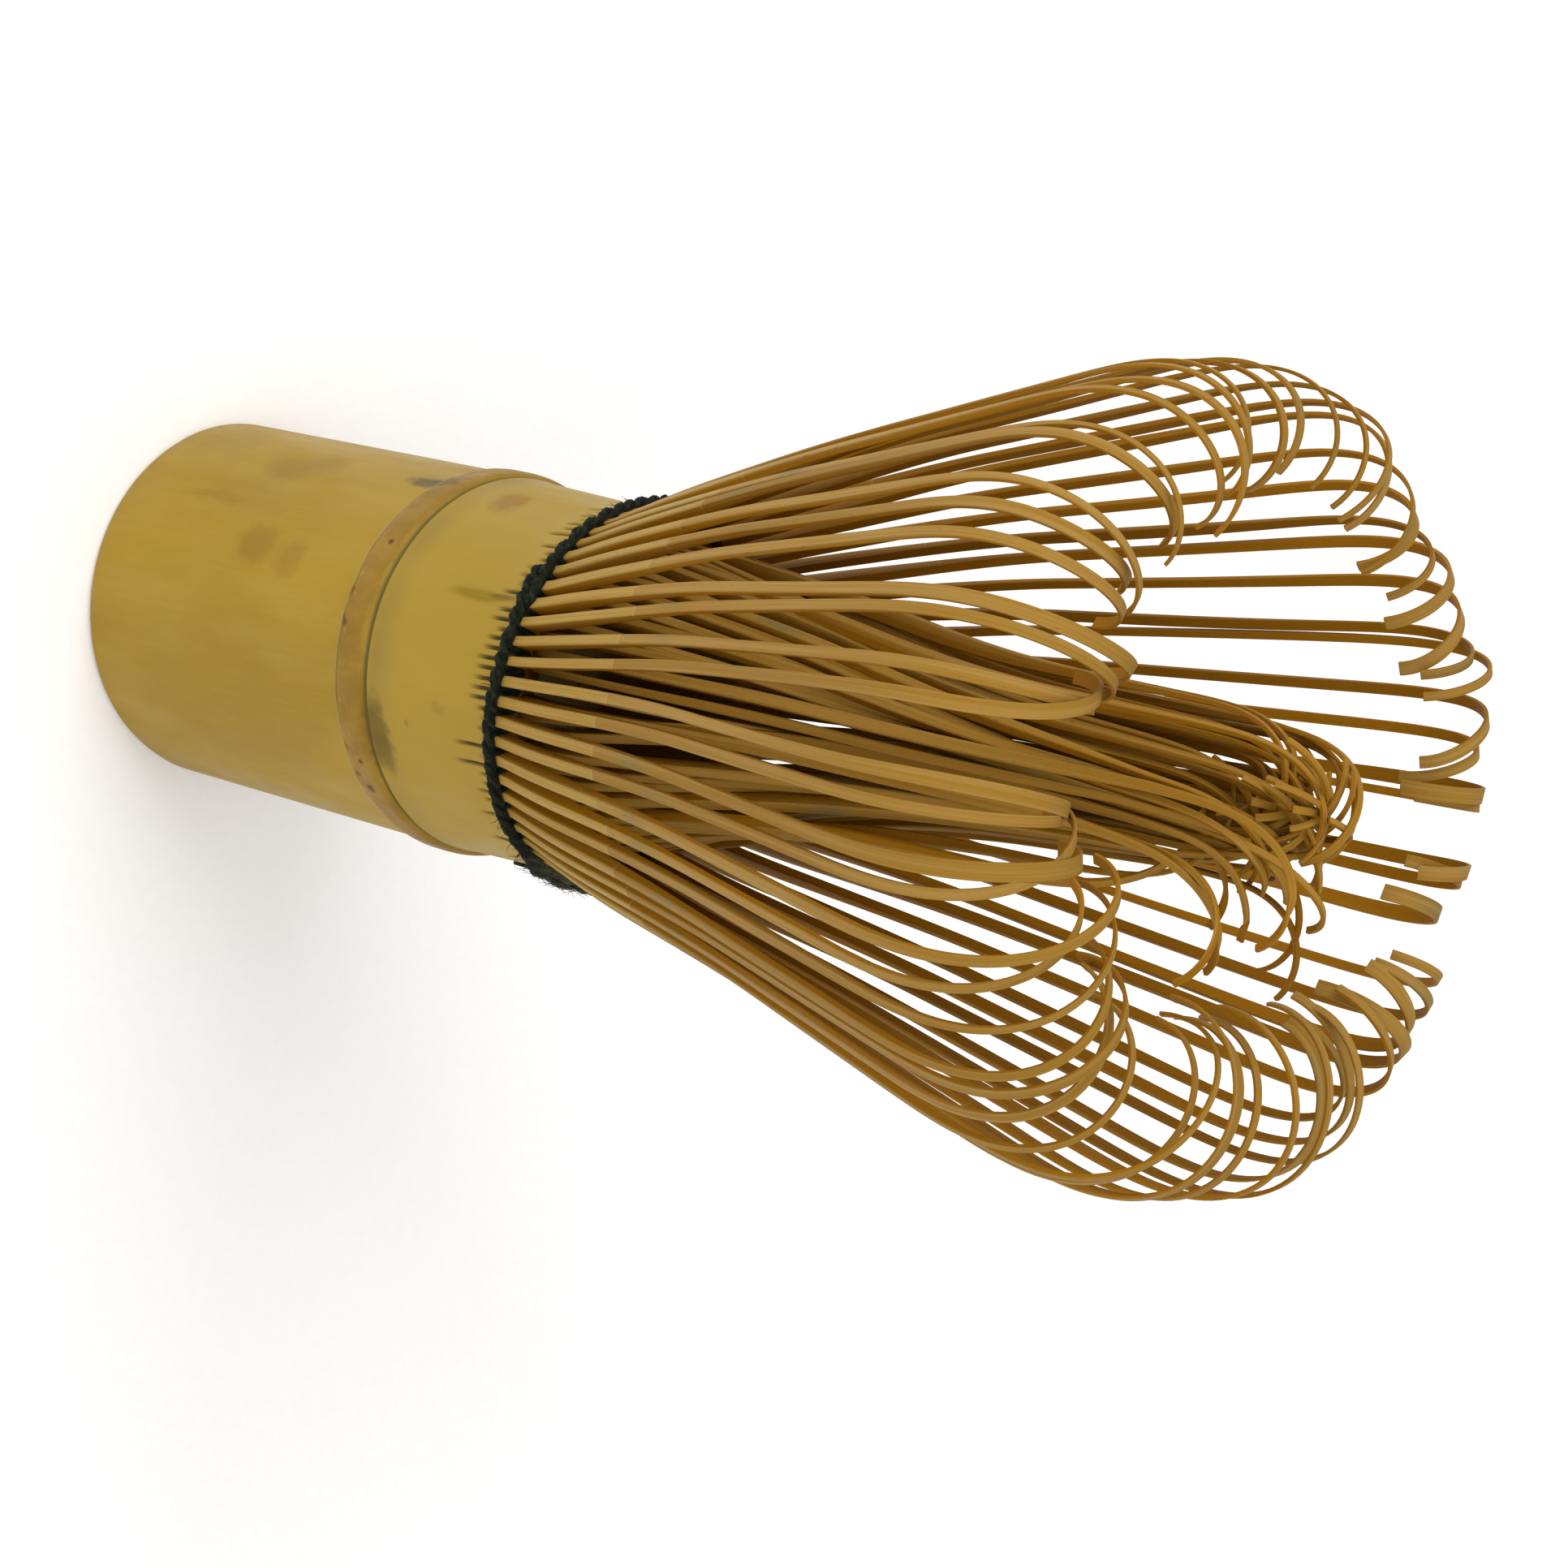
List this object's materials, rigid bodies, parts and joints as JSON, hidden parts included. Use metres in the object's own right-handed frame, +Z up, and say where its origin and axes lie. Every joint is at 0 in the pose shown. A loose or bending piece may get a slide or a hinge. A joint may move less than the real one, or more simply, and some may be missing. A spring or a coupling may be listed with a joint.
{
  "type": "bamboo tea whisk",
  "caption": "Upright bamboo tea whisk: short hollow culm handle with a node, thread-laced flared outer tines with hooked tips, and a closed bundle of fine inner tines.",
  "frame": {"origin": "centre of the cut face at the bottom of the handle, where the whisk stands", "axes": "+Z up along the culm's axis towards the tine tips; X and Y are equivalent, and the thread's knot lies near +X"},
  "size_m": [0.0522, 0.0522, 0.105],
  "materials": {
    "culm": "satin bamboo skin",
    "outer_tines": "shaved bamboo",
    "inner_tines": "shaved bamboo",
    "thread": "dark twisted cotton"
  },
  "bodies": {
    "handle": {"handle_culm": "culm", "binding_thread": "thread", "thread_knot": "thread"},
    "outer_tines_01": {"outer_tines_01": "outer_tines"},
    "outer_tines_02": {"outer_tines_02": "outer_tines"},
    "outer_tines_03": {"outer_tines_03": "outer_tines"},
    "outer_tines_04": {"outer_tines_04": "outer_tines"},
    "outer_tines_05": {"outer_tines_05": "outer_tines"},
    "outer_tines_06": {"outer_tines_06": "outer_tines"},
    "outer_tines_07": {"outer_tines_07": "outer_tines"},
    "outer_tines_08": {"outer_tines_08": "outer_tines"},
    "outer_tines_09": {"outer_tines_09": "outer_tines"},
    "outer_tines_10": {"outer_tines_10": "outer_tines"},
    "outer_tines_11": {"outer_tines_11": "outer_tines"},
    "outer_tines_12": {"outer_tines_12": "outer_tines"},
    "outer_tines_13": {"outer_tines_13": "outer_tines"},
    "outer_tines_14": {"outer_tines_14": "outer_tines"},
    "outer_tines_15": {"outer_tines_15": "outer_tines"},
    "outer_tines_16": {"outer_tines_16": "outer_tines"},
    "outer_tines_17": {"outer_tines_17": "outer_tines"},
    "outer_tines_18": {"outer_tines_18": "outer_tines"},
    "outer_tines_19": {"outer_tines_19": "outer_tines"},
    "outer_tines_20": {"outer_tines_20": "outer_tines"},
    "inner_tines_01": {"inner_tines_01": "inner_tines"},
    "inner_tines_02": {"inner_tines_02": "inner_tines"},
    "inner_tines_03": {"inner_tines_03": "inner_tines"},
    "inner_tines_04": {"inner_tines_04": "inner_tines"},
    "inner_tines_05": {"inner_tines_05": "inner_tines"},
    "inner_tines_06": {"inner_tines_06": "inner_tines"},
    "inner_tines_07": {"inner_tines_07": "inner_tines"},
    "inner_tines_08": {"inner_tines_08": "inner_tines"},
    "inner_tines_09": {"inner_tines_09": "inner_tines"},
    "inner_tines_10": {"inner_tines_10": "inner_tines"},
    "inner_tines_11": {"inner_tines_11": "inner_tines"},
    "inner_tines_12": {"inner_tines_12": "inner_tines"}
  },
  "joints": [
    {"name": "outer_flex_01", "type": "hinge", "parent": "handle", "child": "outer_tines_01", "pos_m": [0.01272, 0.00201, 0.04587], "axis": [-0.1564, 0.9877, 0], "range_deg": [-2, 5], "stiffness_Nm_per_rad": 0.008},
    {"name": "outer_flex_02", "type": "hinge", "parent": "handle", "child": "outer_tines_02", "pos_m": [0.01147, 0.00585, 0.04587], "axis": [-0.454, 0.891, 0], "range_deg": [-2, 5], "stiffness_Nm_per_rad": 0.008},
    {"name": "outer_flex_03", "type": "hinge", "parent": "handle", "child": "outer_tines_03", "pos_m": [0.0091, 0.0091, 0.04587], "axis": [-0.7071, 0.7071, 0], "range_deg": [-2, 5], "stiffness_Nm_per_rad": 0.008},
    {"name": "outer_flex_04", "type": "hinge", "parent": "handle", "child": "outer_tines_04", "pos_m": [0.00585, 0.01147, 0.04587], "axis": [-0.891, 0.454, 0], "range_deg": [-2, 5], "stiffness_Nm_per_rad": 0.008},
    {"name": "outer_flex_05", "type": "hinge", "parent": "handle", "child": "outer_tines_05", "pos_m": [0.00201, 0.01272, 0.04587], "axis": [-0.9877, 0.1564, 0], "range_deg": [-2, 5], "stiffness_Nm_per_rad": 0.008},
    {"name": "outer_flex_06", "type": "hinge", "parent": "handle", "child": "outer_tines_06", "pos_m": [-0.00201, 0.01272, 0.04587], "axis": [-0.9877, -0.1564, 0], "range_deg": [-2, 5], "stiffness_Nm_per_rad": 0.008},
    {"name": "outer_flex_07", "type": "hinge", "parent": "handle", "child": "outer_tines_07", "pos_m": [-0.00585, 0.01147, 0.04587], "axis": [-0.891, -0.454, 0], "range_deg": [-2, 5], "stiffness_Nm_per_rad": 0.008},
    {"name": "outer_flex_08", "type": "hinge", "parent": "handle", "child": "outer_tines_08", "pos_m": [-0.0091, 0.0091, 0.04587], "axis": [-0.7071, -0.7071, 0], "range_deg": [-2, 5], "stiffness_Nm_per_rad": 0.008},
    {"name": "outer_flex_09", "type": "hinge", "parent": "handle", "child": "outer_tines_09", "pos_m": [-0.01147, 0.00585, 0.04587], "axis": [-0.454, -0.891, 0], "range_deg": [-2, 5], "stiffness_Nm_per_rad": 0.008},
    {"name": "outer_flex_10", "type": "hinge", "parent": "handle", "child": "outer_tines_10", "pos_m": [-0.01272, 0.00201, 0.04587], "axis": [-0.1564, -0.9877, 0], "range_deg": [-2, 5], "stiffness_Nm_per_rad": 0.008},
    {"name": "outer_flex_11", "type": "hinge", "parent": "handle", "child": "outer_tines_11", "pos_m": [-0.01272, -0.00201, 0.04587], "axis": [0.1564, -0.9877, 0], "range_deg": [-2, 5], "stiffness_Nm_per_rad": 0.008},
    {"name": "outer_flex_12", "type": "hinge", "parent": "handle", "child": "outer_tines_12", "pos_m": [-0.01147, -0.00585, 0.04587], "axis": [0.454, -0.891, 0], "range_deg": [-2, 5], "stiffness_Nm_per_rad": 0.008},
    {"name": "outer_flex_13", "type": "hinge", "parent": "handle", "child": "outer_tines_13", "pos_m": [-0.0091, -0.0091, 0.04587], "axis": [0.7071, -0.7071, 0], "range_deg": [-2, 5], "stiffness_Nm_per_rad": 0.008},
    {"name": "outer_flex_14", "type": "hinge", "parent": "handle", "child": "outer_tines_14", "pos_m": [-0.00585, -0.01147, 0.04587], "axis": [0.891, -0.454, 0], "range_deg": [-2, 5], "stiffness_Nm_per_rad": 0.008},
    {"name": "outer_flex_15", "type": "hinge", "parent": "handle", "child": "outer_tines_15", "pos_m": [-0.00201, -0.01272, 0.04587], "axis": [0.9877, -0.1564, 0], "range_deg": [-2, 5], "stiffness_Nm_per_rad": 0.008},
    {"name": "outer_flex_16", "type": "hinge", "parent": "handle", "child": "outer_tines_16", "pos_m": [0.00201, -0.01272, 0.04587], "axis": [0.9877, 0.1564, 0], "range_deg": [-2, 5], "stiffness_Nm_per_rad": 0.008},
    {"name": "outer_flex_17", "type": "hinge", "parent": "handle", "child": "outer_tines_17", "pos_m": [0.00585, -0.01147, 0.04587], "axis": [0.891, 0.454, 0], "range_deg": [-2, 5], "stiffness_Nm_per_rad": 0.008},
    {"name": "outer_flex_18", "type": "hinge", "parent": "handle", "child": "outer_tines_18", "pos_m": [0.0091, -0.0091, 0.04587], "axis": [0.7071, 0.7071, 0], "range_deg": [-2, 5], "stiffness_Nm_per_rad": 0.008},
    {"name": "outer_flex_19", "type": "hinge", "parent": "handle", "child": "outer_tines_19", "pos_m": [0.01147, -0.00585, 0.04587], "axis": [0.454, 0.891, 0], "range_deg": [-2, 5], "stiffness_Nm_per_rad": 0.008},
    {"name": "outer_flex_20", "type": "hinge", "parent": "handle", "child": "outer_tines_20", "pos_m": [0.01272, -0.00201, 0.04587], "axis": [0.1564, 0.9877, 0], "range_deg": [-2, 5], "stiffness_Nm_per_rad": 0.008},
    {"name": "inner_flex_01", "type": "hinge", "parent": "handle", "child": "inner_tines_01", "pos_m": [0.0106, 0.00284, 0.04587], "axis": [-0.2588, 0.9659, 0], "range_deg": [0, 3], "stiffness_Nm_per_rad": 0.004},
    {"name": "inner_flex_02", "type": "hinge", "parent": "handle", "child": "inner_tines_02", "pos_m": [0.00776, 0.00776, 0.04587], "axis": [-0.7071, 0.7071, 0], "range_deg": [0, 3], "stiffness_Nm_per_rad": 0.004},
    {"name": "inner_flex_03", "type": "hinge", "parent": "handle", "child": "inner_tines_03", "pos_m": [0.00284, 0.0106, 0.04587], "axis": [-0.9659, 0.2588, 0], "range_deg": [0, 3], "stiffness_Nm_per_rad": 0.004},
    {"name": "inner_flex_04", "type": "hinge", "parent": "handle", "child": "inner_tines_04", "pos_m": [-0.00284, 0.0106, 0.04587], "axis": [-0.9659, -0.2588, 0], "range_deg": [0, 3], "stiffness_Nm_per_rad": 0.004},
    {"name": "inner_flex_05", "type": "hinge", "parent": "handle", "child": "inner_tines_05", "pos_m": [-0.00776, 0.00776, 0.04587], "axis": [-0.7071, -0.7071, 0], "range_deg": [0, 3], "stiffness_Nm_per_rad": 0.004},
    {"name": "inner_flex_06", "type": "hinge", "parent": "handle", "child": "inner_tines_06", "pos_m": [-0.0106, 0.00284, 0.04587], "axis": [-0.2588, -0.9659, 0], "range_deg": [0, 3], "stiffness_Nm_per_rad": 0.004},
    {"name": "inner_flex_07", "type": "hinge", "parent": "handle", "child": "inner_tines_07", "pos_m": [-0.0106, -0.00284, 0.04587], "axis": [0.2588, -0.9659, 0], "range_deg": [0, 3], "stiffness_Nm_per_rad": 0.004},
    {"name": "inner_flex_08", "type": "hinge", "parent": "handle", "child": "inner_tines_08", "pos_m": [-0.00776, -0.00776, 0.04587], "axis": [0.7071, -0.7071, 0], "range_deg": [0, 3], "stiffness_Nm_per_rad": 0.004},
    {"name": "inner_flex_09", "type": "hinge", "parent": "handle", "child": "inner_tines_09", "pos_m": [-0.00284, -0.0106, 0.04587], "axis": [0.9659, -0.2588, 0], "range_deg": [0, 3], "stiffness_Nm_per_rad": 0.004},
    {"name": "inner_flex_10", "type": "hinge", "parent": "handle", "child": "inner_tines_10", "pos_m": [0.00284, -0.0106, 0.04587], "axis": [0.9659, 0.2588, 0], "range_deg": [0, 3], "stiffness_Nm_per_rad": 0.004},
    {"name": "inner_flex_11", "type": "hinge", "parent": "handle", "child": "inner_tines_11", "pos_m": [0.00776, -0.00776, 0.04587], "axis": [0.7071, 0.7071, 0], "range_deg": [0, 3], "stiffness_Nm_per_rad": 0.004},
    {"name": "inner_flex_12", "type": "hinge", "parent": "handle", "child": "inner_tines_12", "pos_m": [0.0106, -0.00284, 0.04587], "axis": [0.2588, 0.9659, 0], "range_deg": [0, 3], "stiffness_Nm_per_rad": 0.004}
  ]
}
